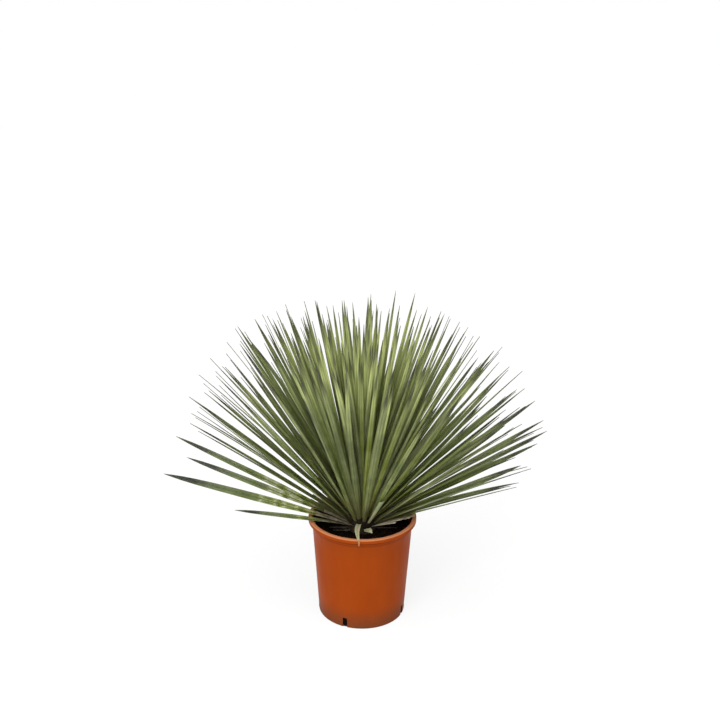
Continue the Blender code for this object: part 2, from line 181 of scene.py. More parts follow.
def polypropylene():
    """Moulded polypropylene has a soft sheen and faint flow mottling, and here a little dried peat on it,
    with a painted highlight on the lip and painted shade under the lip, at the step, low on the foot and
    inside the wall.
    """
    material, tree, shader = new_material("terracotta_polypropylene", 0.45, 0.03)
    place = add_node(tree, "ShaderNodeTexCoord", {}, {}).outputs["Object"]
    # The plastic flowed up the mould and left faint, tall patches, about 30 mm across.
    flow = add_node(tree, "ShaderNodeMapping", {}, {"Vector": place, "Scale": (1, 1, 0.35)})
    mottle = add_node(tree, "ShaderNodeTexNoise", {}, {"Vector": flow.outputs[0], "Scale": 1 / FLOW_SIZE,
                                                       "Detail": 4.0, "Roughness": 0.55})
    share = add_node(tree, "ShaderNodeMapRange", {}, {"Value": mottle.outputs["Fac"], "From Min": 0.35,
                                                      "From Max": 0.70, "To Max": 0.5})
    colour = add_node(tree, "ShaderNodeMix", {"data_type": "RGBA"},
                      {0: share.outputs[0], 6: srgb(TERRACOTTA), 7: srgb(TERRACOTTA_DEEP)})
    height = add_node(tree, "ShaderNodeSeparateXYZ", {}, {"Vector": place}).outputs["Z"]
    # A painted highlight makes the top of the lip paler.
    lip = add_node(tree, "ShaderNodeMapRange", {"interpolation_type": "SMOOTHSTEP"},
                   {"Value": height, "From Min": POT_HEIGHT - 0.0030, "From Max": POT_HEIGHT - 0.0006,
                    "To Max": 0.95})
    lip_highlit = add_node(tree, "ShaderNodeMix", {"data_type": "RGBA"},
                      {0: lip.outputs[0], 6: colour.outputs[2], 7: srgb(TERRACOTTA_HIGHLIGHT)})
    # The foot is darker towards the ground, in specks: partly dried peat dust, partly painted contact shade
    # where the pot meets the ground.
    specks = add_node(tree, "ShaderNodeTexNoise", {}, {"Vector": place, "Scale": 1 / SPECK_SIZE,
                                                       "Detail": 6.0, "Roughness": 0.7})
    foot = add_node(tree, "ShaderNodeMapRange", {"interpolation_type": "SMOOTHSTEP"},
                    {"Value": height, "From Min": FOOT_DUST_AND_SHADE, "From Max": 0.0, "To Max": 0.95})
    dust = add_node(tree, "ShaderNodeMapRange", {}, {"Value": specks.outputs["Fac"], "From Min": 0.52,
                                                     "From Max": 0.66, "To Min": 0.65, "To Max": 1.0})
    dust_and_shade = add_node(tree, "ShaderNodeMath", {"operation": "MULTIPLY_ADD", "use_clamp": True},
                     {0: dust.outputs[0], 1: foot.outputs[0], 2: 0.0})
    dusted_and_shaded = add_node(tree, "ShaderNodeMix", {"data_type": "RGBA"},
                       {0: dust_and_shade.outputs[0], 6: lip_highlit.outputs[2], 7: srgb(PEAT_DUST_AND_SHADE)})
    # Painted shade darkens the wall close under the lip, where the lip casts its shadow.
    under_lip_fade = add_node(tree, "ShaderNodeMapRange", {}, {"Value": height, "From Min": lip_low - LIP_SHADE_REACH,
                                                       "From Max": lip_low - 0.0030, "To Max": 0.95})
    below = add_node(tree, "ShaderNodeMath", {"operation": "LESS_THAN"}, {0: height, 1: lip_low})
    lip_shade_share = add_node(tree, "ShaderNodeMath", {"operation": "MULTIPLY"},
                     {0: under_lip_fade.outputs[0], 1: below.outputs[0]})
    # A faint line of painted shade marks the step in the wall.
    step = add_node(tree, "ShaderNodeMath", {"operation": "COMPARE"}, {0: height, 1: step_height, 2: 0.0016})
    lines = add_node(tree, "ShaderNodeMath", {"operation": "MULTIPLY_ADD", "use_clamp": True},
                     {0: step.outputs[0], 1: 0.35, 2: lip_shade_share.outputs[0]})
    shade_lined = add_node(tree, "ShaderNodeMix", {"data_type": "RGBA"},
                     {0: lines.outputs[0], 6: dusted_and_shaded.outputs[2], 7: srgb(UNDER_LIP_SHADE)})
    # Painted shade darkens the inside of the wall, more deeply below the rim.
    level = add_node(tree, "ShaderNodeVectorMath", {"operation": "MULTIPLY"}, {0: place, 1: (1, 1, 0)})
    reach = add_node(tree, "ShaderNodeVectorMath", {"operation": "LENGTH"}, {0: level.outputs[0]})
    inner = add_node(tree, "ShaderNodeMath", {"operation": "MULTIPLY_ADD"},
                     {0: height, 1: WALL_SLOPE, 2: BASE_RADIUS - WALL * 0.6})
    within = add_node(tree, "ShaderNodeMath", {"operation": "LESS_THAN"},
                      {0: reach.outputs["Value"], 1: inner.outputs[0]})
    inside_depth = add_node(tree, "ShaderNodeMapRange", {"interpolation_type": "SMOOTHSTEP"},
                      {"Value": height, "From Min": POT_HEIGHT - 0.001,
                       "From Max": POT_HEIGHT - INSIDE_SHADE_REACH, "To Min": 0.25, "To Max": 0.95})
    inside_shade_share = add_node(tree, "ShaderNodeMath", {"operation": "MULTIPLY"},
                   {0: within.outputs[0], 1: inside_depth.outputs[0]})
    shaded_inside = add_node(tree, "ShaderNodeMix", {"data_type": "RGBA"},
                    {0: inside_shade_share.outputs[0], 6: shade_lined.outputs[2], 7: srgb(INSIDE_SHADE)})
    tree.links.new(shaded_inside.outputs[2], shader.inputs["Base Color"])
    sheen = add_node(tree, "ShaderNodeMapRange", {}, {"Value": mottle.outputs["Fac"], "From Min": 0.3,
                                                      "From Max": 0.7, "To Min": 0.36, "To Max": 0.48})
    tree.links.new(sheen.outputs[0], shader.inputs["Roughness"])
    # The spark-eroded mould leaves a grain of about 0.8 mm, drawn at 1.5 mm so that it shows.
    grain = add_node(tree, "ShaderNodeTexNoise", {}, {"Vector": place, "Scale": 1 / GRAIN_SIZE,
                                                      "Detail": 2.0})
    bump = add_node(tree, "ShaderNodeBump", {}, {"Height": grain.outputs["Fac"], "Strength": 0.12,
                                                 "Distance": 0.0004})
    tree.links.new(bump.outputs[0], shader.inputs["Normal"])
    return material


def cut_slots(piece):
    """Cuts the drain slots, each round at its top corners and open to the bottom edge of the wall."""
    reach = SLOT_OUTER - SLOT_INNER
    middle = (SLOT_INNER + reach / 2, 0, (SLOT_HEIGHT - SLOT_BELOW) / 2)
    for i in range(SLOT_COUNT):
        shape = bmesh.new()
        bmesh.ops.create_cube(shape, size=1)
        bmesh.ops.scale(shape, verts=shape.verts, vec=(reach, SLOT_WIDTH, SLOT_HEIGHT + SLOT_BELOW))
        bmesh.ops.translate(shape, verts=shape.verts, vec=middle)
        top_corners = [
            edge for edge in shape.edges
            if min(v.co.z for v in edge.verts) > 0
            and abs(edge.verts[0].co.x - edge.verts[1].co.x) > reach / 2
        ]
        bmesh.ops.bevel(
            shape, geom=top_corners, offset=SLOT_ROUND, segments=4, profile=0.5, affect="EDGES", material=-1,
        )
        turn = Matrix.Rotation(math.radians(SLOT_BEARING + i * 360 / SLOT_COUNT), 3, "Z")
        bmesh.ops.rotate(shape, verts=shape.verts, matrix=turn)
        mesh = bpy.data.meshes.new("slot_cutter")
        shape.to_mesh(mesh)
        shape.free()
        cutter = bpy.data.objects.new("slot_cutter", mesh)
        bpy.context.scene.collection.objects.link(cutter)
        cut = piece.modifiers.new("Slot", "BOOLEAN")
        cut.operation, cut.object = "DIFFERENCE", cutter
        graph = bpy.context.evaluated_depsgraph_get()
        mesh = bpy.data.meshes.new_from_object(piece.evaluated_get(graph))
        piece.modifiers.clear()
        piece.data = mesh
        bpy.data.objects.remove(cutter)
    piece.data.set_sharp_from_angle(angle=math.radians(30))


pot = add_piece("pot_shell", spun(pot_profile, POT_STEPS), polypropylene())
cut_slots(pot)
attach(pot, "root")
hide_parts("pot")


# The peat
# Dark moist peat with bark crumbs and fibres, filled to about 3 cm under the rim and settled by
# watering. The stem stands in a plain hole in it.

SOIL_TOP = 0.2160
STEM_RADIUS = 0.033
STEM_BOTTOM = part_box("stem")[0].z
GAP = 0.0003  # between pieces that touch
SOIL_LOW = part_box("soil")[0].z
SOIL_EDGE_DROP, SOIL_CORNER = 0.0045, 0.004
SOIL_RINGS, SOIL_STEPS = 26, 150
SWELLS = ((0.0013, 60), (0.0011, 170), (0.0006, 420))  # heights of its unevenness, and rates to a metre
PEAT_SEED = 5
CRUMBS, CRUMB_LEAST, CRUMB_MORE = 1500, 0.0007, 0.0016  # most are near the least size
CRUMB_STRETCHES = ((0.7, 1.5), (0.7, 1.2), (0.5, 0.9))
FIBRES, FIBRE_HALVES, FIBRE_LENGTHS = 220, (0.0003, 0.0006), (0.006, 0.018)
BIT_TILT, BIT_SINK = 0.3, 0.0003  # how far crumbs and fibres tip over and sink in
CRUMB_SIZE, LUMP_SIZE = 0.0035, 0.012
PEAT_DARK, PEAT, PEAT_LIGHT = "#070402", "#120B06", "#2E2015"


def peat():
    """Moist peat is nearly black, with browner crumbs and no gloss."""
    material, tree, shader = new_material("moist_peat", 0.95, 0.04)
    place = add_node(tree, "ShaderNodeTexCoord", {}, {}).outputs["Object"]
    crumbs = add_node(tree, "ShaderNodeTexVoronoi", {}, {"Vector": place, "Scale": 1 / CRUMB_SIZE})
    lumps = add_node(tree, "ShaderNodeTexNoise", {}, {"Vector": place, "Scale": 1 / LUMP_SIZE,
                                                      "Detail": 6.0, "Roughness": 0.7})
    shade = add_node(tree, "ShaderNodeMapRange", {}, {"Value": lumps.outputs["Fac"], "From Min": 0.35,
                                                      "From Max": 0.72})
    colour = add_node(tree, "ShaderNodeMix", {"data_type": "RGBA"},
                      {0: shade.outputs[0], 6: srgb(PEAT_DARK), 7: srgb(PEAT)})
    # Each crumb has a random colour, of which one channel picks the few that are brown.
    chance = add_node(tree, "ShaderNodeSeparateColor", {}, {"Color": crumbs.outputs["Color"]})
    some = add_node(tree, "ShaderNodeMapRange", {}, {"Value": chance.outputs[0], "From Min": 0.82,
                                                     "From Max": 0.98, "To Max": 0.8})
    mixed = add_node(tree, "ShaderNodeMix", {"data_type": "RGBA"},
                     {0: some.outputs[0], 6: colour.outputs[2], 7: srgb(PEAT_LIGHT)})
    tree.links.new(mixed.outputs[2], shader.inputs["Base Color"])
    bump = add_node(tree, "ShaderNodeBump", {}, {"Height": crumbs.outputs["Distance"], "Strength": 0.8,
                                                 "Distance": 0.0015})
    tree.links.new(bump.outputs[0], shader.inputs["Normal"])
    return material


def soil_height(x, y):
    """How far the peat's surface stands above or under its mean height."""
    place = Vector((x, y, 0))
    return sum(rise * noise.noise(place * rate) for rise, rate in SWELLS)


def make_soil():
    """The body of peat, just clear of the pot's wall, with the stem's hole and an uneven top."""
    hole = STEM_RADIUS + GAP
    edge = SOIL_TOP - SOIL_EDGE_DROP
    clear = WALL + GAP * 1.5
    rim = wall_radius(edge) - clear
    corner = SOIL_LOW + SOIL_CORNER
    top = [hole + 0.001 + (rim - 0.002 - hole) * i / SOIL_RINGS for i in range(SOIL_RINGS + 1)]
    shape = spun([
        (0, STEM_BOTTOM - GAP), (hole, STEM_BOTTOM - GAP), (hole, SOIL_TOP - 0.004),
        *[(reach, SOIL_TOP - 0.0005) for reach in top],
        (rim, edge), (wall_radius(corner) - clear, corner),
        (wall_radius(SOIL_LOW) - clear - 0.003, SOIL_LOW), (0, SOIL_LOW),
    ], SOIL_STEPS)
    for vert in shape.verts:
        if vert.co.z > SOIL_TOP - 0.001:
            vert.co.z += soil_height(vert.co.x, vert.co.y)
    return shape


def make_crumbs():
    """Bark crumbs and fibres scattered half sunk over the peat, from one crumb and one fibre shape."""
    crumb, fibre = bmesh.new(), bmesh.new()
    bmesh.ops.create_icosphere(crumb, subdivisions=1, radius=1)
    bmesh.ops.create_cone(fibre, cap_ends=True, segments=4, radius1=1, radius2=0.5, depth=1)
    lay_down = Matrix.Rotation(math.radians(88), 3, "X")
    bmesh.ops.rotate(fibre, verts=fibre.verts, matrix=lay_down)
    units = []
    for name, bit in (("crumb", crumb), ("fibre", fibre)):
        units.append(bpy.data.meshes.new(name))
        bit.to_mesh(units[-1])
        bit.free()
    shape = bmesh.new()
    draw = random.Random(PEAT_SEED)
    nearest, farthest = STEM_RADIUS + 0.004, wall_radius(SOIL_TOP) - WALL - 0.005
    for i in range(CRUMBS + FIBRES):
        reach = math.sqrt(draw.uniform(nearest ** 2, farthest ** 2))
        bearing = draw.uniform(0, math.tau)
        x, y = reach * math.cos(bearing), reach * math.sin(bearing)
        turn = Matrix.Rotation(draw.uniform(0, math.tau), 3, "Z")
        turn = turn @ Matrix.Rotation(draw.uniform(-BIT_TILT, BIT_TILT), 3, "X")
        if i < CRUMBS:
            size = CRUMB_LEAST + CRUMB_MORE * draw.random() ** 2
            stretch = Vector([draw.uniform(*span) for span in CRUMB_STRETCHES]) * size
        else:
            half = draw.uniform(*FIBRE_HALVES)
            stretch = Vector((half, draw.uniform(*FIBRE_LENGTHS), half))
        known = len(shape.verts)
        shape.from_mesh(units[i >= CRUMBS])
        shape.verts.ensure_lookup_table()
        place = Vector((x, y, SOIL_TOP - BIT_SINK + soil_height(x, y)))
        for vert in shape.verts[known:]:
            vert.co = place + turn @ (vert.co * stretch)
    bmesh.ops.recalc_face_normals(shape, faces=shape.faces)
    return shape


moist_peat = peat()
for name, shape in (("peat_fill", make_soil()), ("peat_crumbs", make_crumbs())):
    piece = add_piece(name, shape, moist_peat, sharp=50)
    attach(piece, "root")
    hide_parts("soil")


# The stem
# The plant's short woody stem, fibrous and grey-brown, which grew up out of the peat. The dry bases
# of old leaves still stick out round its top.

STEM_TOP = 0.2235
STEM_STEPS = 72
CORE_RADIUS = 0.040
DRY_BASE_COUNT, DRY_BASE_HEIGHT = 16, 0.2206
DRY_BASE_FREE = (225, 325)  # none grows between these bearings, where the cut leaves are
# How far a base reaches, its half width and how far its end rises, each at the least and at the most.
DRY_BASE_END, DRY_BASE_HALF, DRY_BASE_RISE = (0.078, 0.106), (0.0035, 0.0055), (0.004, 0.016)
DRY_BASE_STRAY, DRY_BASE_TURN = 7, 6  # degrees that it strays from its place and turns aside
DRY_BASE_POINT = 0.35  # width at its end, as a share of its width at the stem
DRY_SEED, DRY_BASE_SHADE = 18, -0.45  # the bases are painted darker than the old leaves over them, as painted shade
KEEL_SHARE, KEEL_LEAST = 0.22, 0.0012  # depth of a blade's keel, by its width and at the least
BLADE_THICK, MARGIN_THICK = 0.0010, 0.0005  # at a blade's middle and at its margins
SLIM_HALF = 0.004  # under this half width a blade is thinner too
BARK_GROOVE, BARK_RATES = 0.0016, Vector((220, 220, 60))  # depth, and how close across and along
BARK_ROUND, BARK_TILE = 12, 0.03  # the fibres' pattern goes round so many times, and is so high
BLOTCH_SIZE = 0.012
BARK = ("#1A1209", "#3A2C1A", "#665438")
DRY_LEAF = ("#2A2316", "#AEA186", "#E4DAC6")


def dry_fibre(name, dark, middle, light):
    """Dead leaf bases and bark are matt grey-brown, with fibres that run along them."""
    material, tree, shader = new_material(name, 0.85, 0.2)
    along = add_node(tree, "ShaderNodeUVMap", {"uv_map": "UVMap"}, {}).outputs[0]
    place = add_node(tree, "ShaderNodeTexCoord", {}, {}).outputs["Object"]
    blotch = add_node(tree, "ShaderNodeTexNoise", {}, {"Vector": place, "Scale": 1 / BLOTCH_SIZE,
                                                       "Detail": 5.0})
    # The fibres run along the piece, about 24 of them across a leaf's width.
    lines = add_node(tree, "ShaderNodeMapping", {}, {"Vector": along, "Scale": (24, 3, 1)})
    fibre = add_node(tree, "ShaderNodeTexNoise", {}, {"Vector": lines.outputs[0], "Scale": 1.0,
                                                      "Detail": 4.0})
    tone = add_node(tree, "ShaderNodeAttribute", {"attribute_name": "tone"}, {}).outputs["Fac"]
    share = add_node(tree, "ShaderNodeMapRange", {}, {"Value": blotch.outputs["Fac"], "From Min": 0.35,
                                                      "From Max": 0.68, "To Max": 0.55})
    whole = add_node(tree, "ShaderNodeMath", {"use_clamp": True}, {0: share.outputs[0], 1: tone})
    colour = add_node(tree, "ShaderNodeMix", {"data_type": "RGBA"},
                      {0: whole.outputs[0], 6: srgb(dark), 7: srgb(middle)})
    pale = add_node(tree, "ShaderNodeMapRange", {}, {"Value": fibre.outputs["Fac"], "From Min": 0.5,
                                                     "From Max": 0.75, "To Max": 0.8})
    # Dark pieces have darker fibres as well.
    bright = add_node(tree, "ShaderNodeMath", {"operation": "MULTIPLY_ADD"},
                      {0: whole.outputs[0], 1: 0.75, 2: 0.25})
    fibres = add_node(tree, "ShaderNodeMath", {"operation": "MULTIPLY"},
                      {0: pale.outputs[0], 1: bright.outputs[0]})
    mixed = add_node(tree, "ShaderNodeMix", {"data_type": "RGBA"},
                     {0: fibres.outputs[0], 6: colour.outputs[2], 7: srgb(light)})
    tree.links.new(mixed.outputs[2], shader.inputs["Base Color"])
    bump = add_node(tree, "ShaderNodeBump", {}, {"Height": fibre.outputs["Fac"], "Strength": 0.6,
                                                 "Distance": 0.0008})
    tree.links.new(bump.outputs[0], shader.inputs["Normal"])
    return material


def ribbon(points, top):
    """A section function through (distance, bearing, height, half width) points, eased between them."""
    turns = [math.radians(bearing) for _, bearing, _, _ in points]
    places = [Vector((p[0] * math.cos(a), p[0] * math.sin(a), p[2])) for p, a in zip(points, turns)]
    halves = [half for _, _, _, half in points]
    last = len(points) - 1

    def eased(values, s):
        i = min(int(s * last), last - 1)
        t = s * last - i
        before, start = values[max(i - 1, 0)], values[i]
        end, after = values[i + 1], values[min(i + 2, last)]
        return 0.5 * (2 * start + (end - before) * t + (2 * before - 5 * start + 4 * end - after) * t * t
                      + (3 * start - before - 3 * end + after) * t * t * t)

    def section(s):
        along = (eased(places, min(s + 0.02, 1)) - eased(places, max(s - 0.02, 0))).normalized()
        across = top.cross(along).normalized()
        return eased(places, s), across, along.cross(across), eased(halves, s)

    return section


def unit_blade(stations):
    """A straight six-cornered bar of length 1 with rings at the stations.

    Its UV map has u across and v along it, and its "inside" attribute marks the upper, hollow side.
    """
    shape = bmesh.new()
    bmesh.ops.create_cone(shape, cap_ends=True, segments=6, radius1=1, radius2=1, depth=1)
    bmesh.ops.translate(shape, verts=shape.verts, vec=(0, 0, 0.5))
    for s in stations:
        whole = shape.verts[:] + shape.edges[:] + shape.faces[:]
        bmesh.ops.bisect_plane(shape, geom=whole, plane_co=(0, 0, s), plane_no=(0, 0, 1), dist=0.0001)
    # The bar's corners lie at x = 0 and 0.87 to either side, which become u = 0.5, 0 and 1.
    uv, inside = shape.loops.layers.uv.new("UVMap"), shape.faces.layers.float.new("inside")
    for face in shape.faces:
        face[inside] = float(face.calc_center_median().y > 0.3)
        for loop in face.loops:
            loop[uv].uv = (0.5 + 0.57 * loop.vert.co.x, loop.vert.co.z)
    mesh = bpy.data.meshes.new("unit_blade")
    shape.to_mesh(mesh)
    shape.free()
    return mesh


def add_blade(shape, unit, section):
    """Adds a blade to a bmesh: each ring's corners go to a crease, a keel and two thin margins."""
    known = len(shape.verts)
    shape.from_mesh(unit)
    shape.verts.ensure_lookup_table()
    added = shape.verts[known:]
    for vert in added:
        s = vert.co.z
        centre, across, up, half = section(s)
        keel = max(KEEL_LEAST, KEEL_SHARE * 2 * half)
        slim = min(1.0, half / SLIM_HALF)
        # The bar's middle corners are the crease above and the keel below, and the others the margins.
        if abs(vert.co.x) < 0.1:
            lift = -2 / 3 * keel + (BLADE_THICK * slim if vert.co.y > 0 else 0)
            vert.co = centre + up * lift
        else:
            edge = keel / 3 - (0 if vert.co.y > 0 else MARGIN_THICK * slim)
            vert.co = centre + across * math.copysign(half, vert.co.x) + up * edge
    return added


def make_bark():
    """The stem's side and ends, with grooves between the fibres of its bark."""
    shape = spun([
        (0, STEM_TOP), (STEM_RADIUS - 0.010, STEM_TOP), (STEM_RADIUS - 0.003, STEM_TOP - 0.0003),
        *[(STEM_RADIUS, STEM_TOP - d) for d in (0.002, 0.005, 0.008, 0.012, 0.020, 0.030)],
        (STEM_RADIUS - 0.002, STEM_BOTTOM + 0.020), (STEM_RADIUS - 0.012, STEM_BOTTOM), (0, STEM_BOTTOM),
    ], STEM_STEPS)
    for vert in shape.verts:
        inward = BARK_GROOVE * abs(noise.noise(vert.co * BARK_RATES))
        if vert.co.to_2d().length > STEM_RADIUS / 2:
            vert.co.xy = vert.co.xy * (1 - inward / STEM_RADIUS)
    uv = shape.loops.layers.uv.new("UVMap")
    for face in shape.faces:
        for loop in face.loops:
            x, y, z = loop.vert.co
            loop[uv].uv = (math.atan2(y, x) / math.tau * BARK_ROUND, z / BARK_TILE)
    return shape


def make_dry_bases():
    """The dry bases that stick out round the stem's top, less those where the cut leaves are."""
    shape = bmesh.new()
    unit = unit_blade((0.2, 0.4, 0.6, 0.8))
    draw = random.Random(DRY_SEED + 1)
    for i in range(DRY_BASE_COUNT):
        bearing = (i + 0.5) * 360 / DRY_BASE_COUNT + draw.uniform(-DRY_BASE_STRAY, DRY_BASE_STRAY)
        end, half = draw.uniform(*DRY_BASE_END), draw.uniform(*DRY_BASE_HALF)
        rise, turn = draw.uniform(*DRY_BASE_RISE), draw.uniform(-DRY_BASE_TURN, DRY_BASE_TURN)
        if DRY_BASE_FREE[0] < bearing < DRY_BASE_FREE[1]:
            continue
        points = (
            (STEM_RADIUS - 0.006, bearing, DRY_BASE_HEIGHT, half),
            (CORE_RADIUS + 0.004, bearing, DRY_BASE_HEIGHT, half),
            (end, bearing + turn, DRY_BASE_HEIGHT + rise, half * DRY_BASE_POINT),
        )
        add_blade(shape, unit, ribbon(points, Vector((0, 0, 1))))
    bmesh.ops.recalc_face_normals(shape, faces=shape.faces)
    # The bases get a low tone: painted shade under the old leaves over them.
    tone = shape.verts.layers.float.new("tone")
    for vert in shape.verts:
        vert[tone] = DRY_BASE_SHADE
    return shape


bark, dead_leaf = dry_fibre("dark_fibrous_bark", *BARK), dry_fibre("dry_leaf_fibre", *DRY_LEAF)
for name, shape, material in (
    ("stem_bark", make_bark(), bark),
    ("dry_leaf_bases", make_dry_bases(), dead_leaf),
):
    piece = add_piece(name, shape, material)
    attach(piece, "root")
    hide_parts("stem")


# The leaves
# Some 300 stiff, narrow leaves, nearly all of them in a golden spiral round the crown. Each is a thick
# fibrous blade, folded to a keel, with thin dull margins, a waxy skin and a dark dry spine at its tip.

CROWN = Vector((0, 0, 0.228))  # the point that all leaves spring from
ROOT_RADIUS, ROOT_CLIMB = 0.026, 0.022  # outer blades begin this far out, the inner ones this much higher
LEAF_COUNT, LEAF_WIDTH, LEAF_SEED = 292, 0.0119, 572
LEAF_NECK, LEAF_FULL = 0.54, 0.40  # share of the width at the root, and of the length where it is full
LEAF_NARROWING, LEAF_TAPER = 0.34, 7  # share of the width that goes slowly, and how late the rest goes
LEAF_LENGTH, LOW_LOSS, TOP_LOSS = 0.560, 0.22, 0.040  # the lowest and the upright leaves are shorter
TWIST_FULL = 0.5  # the share of its length by which a leaf has turned to its own facing
GOLDEN_ANGLE = 137.508
CROWDING = 0.78  # below 1, the leaves stand closer towards the top of the rosette
STEEPEST = 0.9995  # sine of the steepest rise before the scatter
LEAST_LEVEL = 0.25  # keeps the bearings of the upright leaves from straying too far
LEAN_FULL, TOP_REACH = 75, 2.5  # degrees from upright at full lean, and how soon the loss at the top ends
SIDE_RISE, FRONT_RISE, BACK_RISE = 23.1, 59, 26  # lowest elevations of the rosette's leaves, in degrees
RIGHT_LOWER, RISE_FALLOFF = 7.1, 1.5  # the right side hangs lower than the left by twice the first
LEAST_RISE = 17.5  # clears the pot's rim
RISE_SCATTER, BEARING_SCATTER, TWIST_SCATTER = 2.1, 2.1, 23  # degrees
LENGTH_SCATTER, WIDTH_SCATTER = 0.027, 0.09  # shares
DROOP, DROOP_SCATTER, SWEEP_SCATTER = 0.03, 0.018, 0.03  # a tip's shift, as a share of the leaf's length
BENT_SHARE, BENT_DROOP = 0.06, 0.085  # a few leaves hang at the tip
AGE_RISE, AGE_SPAN, AGE_SCATTER, AGE_MOST = 75, 50, 0.15, 1.3  # the lower a leaf lies, the older it is
# Bearing, rise, length, greatest width, twist and droop of the leaves that stand clear of the rest.
OUTER_LEAVES = (
    (190, 20.5, 0.492, 0.0190, -65, 0.02), (171, 18.8, 0.457, 0.0160, -60, 0.02),
    (173, 24.8, 0.497, 0.0150, -55, 0.02), (166, 34.0, 0.487, 0.0140, -30, 0.02),
    (199, 16.0, 0.322, 0.0125, -35, 0.02), (10, 17.0, 0.412, 0.0170, 60, -0.01),
    (0.5, 21.5, 0.381, 0.0130, 40, -0.01), (9, 25.5, 0.500, 0.0145, 40, 0),
    (14, 20.5, 0.475, 0.0140, 40, 0), (2, 32.0, 0.500, 0.0150, 30, 0), (12, 34.0, 0.512, 0.0150, 30, 0),
)
LEAF_STATIONS = (0.04, 0.10, 0.18, 0.28, 0.40, 0.52, 0.64, 0.75, 0.84, 0.91, 0.96)  # rings along a blade
LEAF_PIECES = 6  # from the lowest leaves up, and the last has the outer leaves as well
BLADE_END = 0.997  # the spine is blunt, so the blade ends just before the solid's sharp point
# The waxy colour also paints light towards the tips, the inside colour is painted shade in the fold and the
# crease, and the dull colour is partly painted shade on old leaves.
LEAF_GREEN, LEAF_GREY, LEAF_YELLOW, LEAF_BLOOM_AND_LIGHT = "#4D5824", "#666C4A", "#707927", "#C2CB88"
LEAF_FOLD_SHADE = "#37411F"
LEAF_MARGIN, LEAF_SPINE, LEAF_FOOT, LEAF_DULL_AND_SHADE = "#5A5C3C", "#262627", "#4F482A", "#484C48"
VEIN_GAP, BLOOM_SIZE = 0.0026, 0.045


def blade_width(s):
    """Width of a leaf at the share s of its length, as a share of its greatest width."""
    if s < LEAF_FULL:
        return LEAF_NECK + (1 - LEAF_NECK) * math.sin(math.pi / 2 * max(0, s) / LEAF_FULL)
    outer = (s - LEAF_FULL) / (1 - LEAF_FULL)
    return max(0.05, (1 - LEAF_NARROWING * outer ** 1.3) * (1 - outer ** LEAF_TAPER))


def lowest_rise(bearing):
    """The lowest elevation of the rosette's leaves at a bearing."""
    turn = math.radians(bearing)
    front = max(0, -math.sin(turn)) ** RISE_FALLOFF
    back = max(0, math.sin(turn)) ** RISE_FALLOFF
    side = SIDE_RISE - RIGHT_LOWER * math.cos(turn)
    return side + (FRONT_RISE - SIDE_RISE) * front + (BACK_RISE - SIDE_RISE) * back


def leaf_layout():
    """Every green leaf, from the lowest turn of the golden spiral to the spear leaves in the middle."""
    draw = random.Random(LEAF_SEED)
    leaves = []
    for i in range(LEAF_COUNT):
        bearing = (i * GOLDEN_ANGLE) % 360
        low = math.sin(math.radians(lowest_rise(bearing)))
        height = low + (1 - low) * ((i + 0.5) / LEAF_COUNT) ** CROWDING
        rise = math.degrees(math.asin(min(STEEPEST, height))) + draw.gauss(0, RISE_SCATTER)
        rise = max(LEAST_RISE, rise)
        level = math.cos(math.radians(rise))
        bearing += draw.gauss(0, BEARING_SCATTER) / max(LEAST_LEVEL, level)
        lean = max(0, (90 - rise) / LEAN_FULL)
        length = LEAF_LENGTH - LOW_LOSS * lean ** 3 - TOP_LOSS * max(0, 1 - lean * TOP_REACH)
        length *= 1 + draw.gauss(0, LENGTH_SCATTER)
        width = LEAF_WIDTH * (1 + draw.gauss(0, WIDTH_SCATTER))
        twist = draw.gauss(0, TWIST_SCATTER)
        droop = DROOP * level + draw.gauss(0, DROOP_SCATTER)
        if draw.random() < BENT_SHARE:
            droop += BENT_DROOP * level
        sweep = draw.gauss(0, SWEEP_SCATTER)
        leaves.append((bearing, rise, length, width, twist, droop, sweep))
    return leaves + [(*leaf, 0) for leaf in OUTER_LEAVES]


def leaf_root(bearing, rise):
    """Where a leaf begins: the outer leaves low round the crown, the inner ones higher up in its middle."""
    turn, low = math.radians(bearing), math.sin(math.radians(lowest_rise(bearing)))
    inner = max(0, min(1, (math.sin(math.radians(rise)) - low) / (1 - low)))
    reach = ROOT_RADIUS * (1 - inner)
    return CROWN + Vector((reach * math.cos(turn), reach * math.sin(turn), ROOT_CLIMB * inner))


def leaf_section(leaf, s):
    """A leaf's centre, sideways and upward directions and half width at the share s of its length."""
    bearing, rise, length, width, twist, droop, sweep = leaf
    a, e = math.radians(bearing), math.radians(rise)
    along = Vector((math.cos(a) * math.cos(e), math.sin(a) * math.cos(e), math.sin(e)))
    side = Vector((-math.sin(a), math.cos(a), 0))
    up = Vector((-math.cos(a) * math.sin(e), -math.sin(a) * math.sin(e), math.cos(e)))
    centre = leaf_root(bearing, rise).lerp(CROWN + along * length, s)
    centre += (side * sweep - up * droop) * (s * s * length)
    turn = math.radians(twist) * min(1, s / TWIST_FULL) ** 2
    across = side * math.cos(turn) + up * math.sin(turn)
    return centre, across, up * math.cos(turn) - side * math.sin(turn), width * blade_width(s) / 2


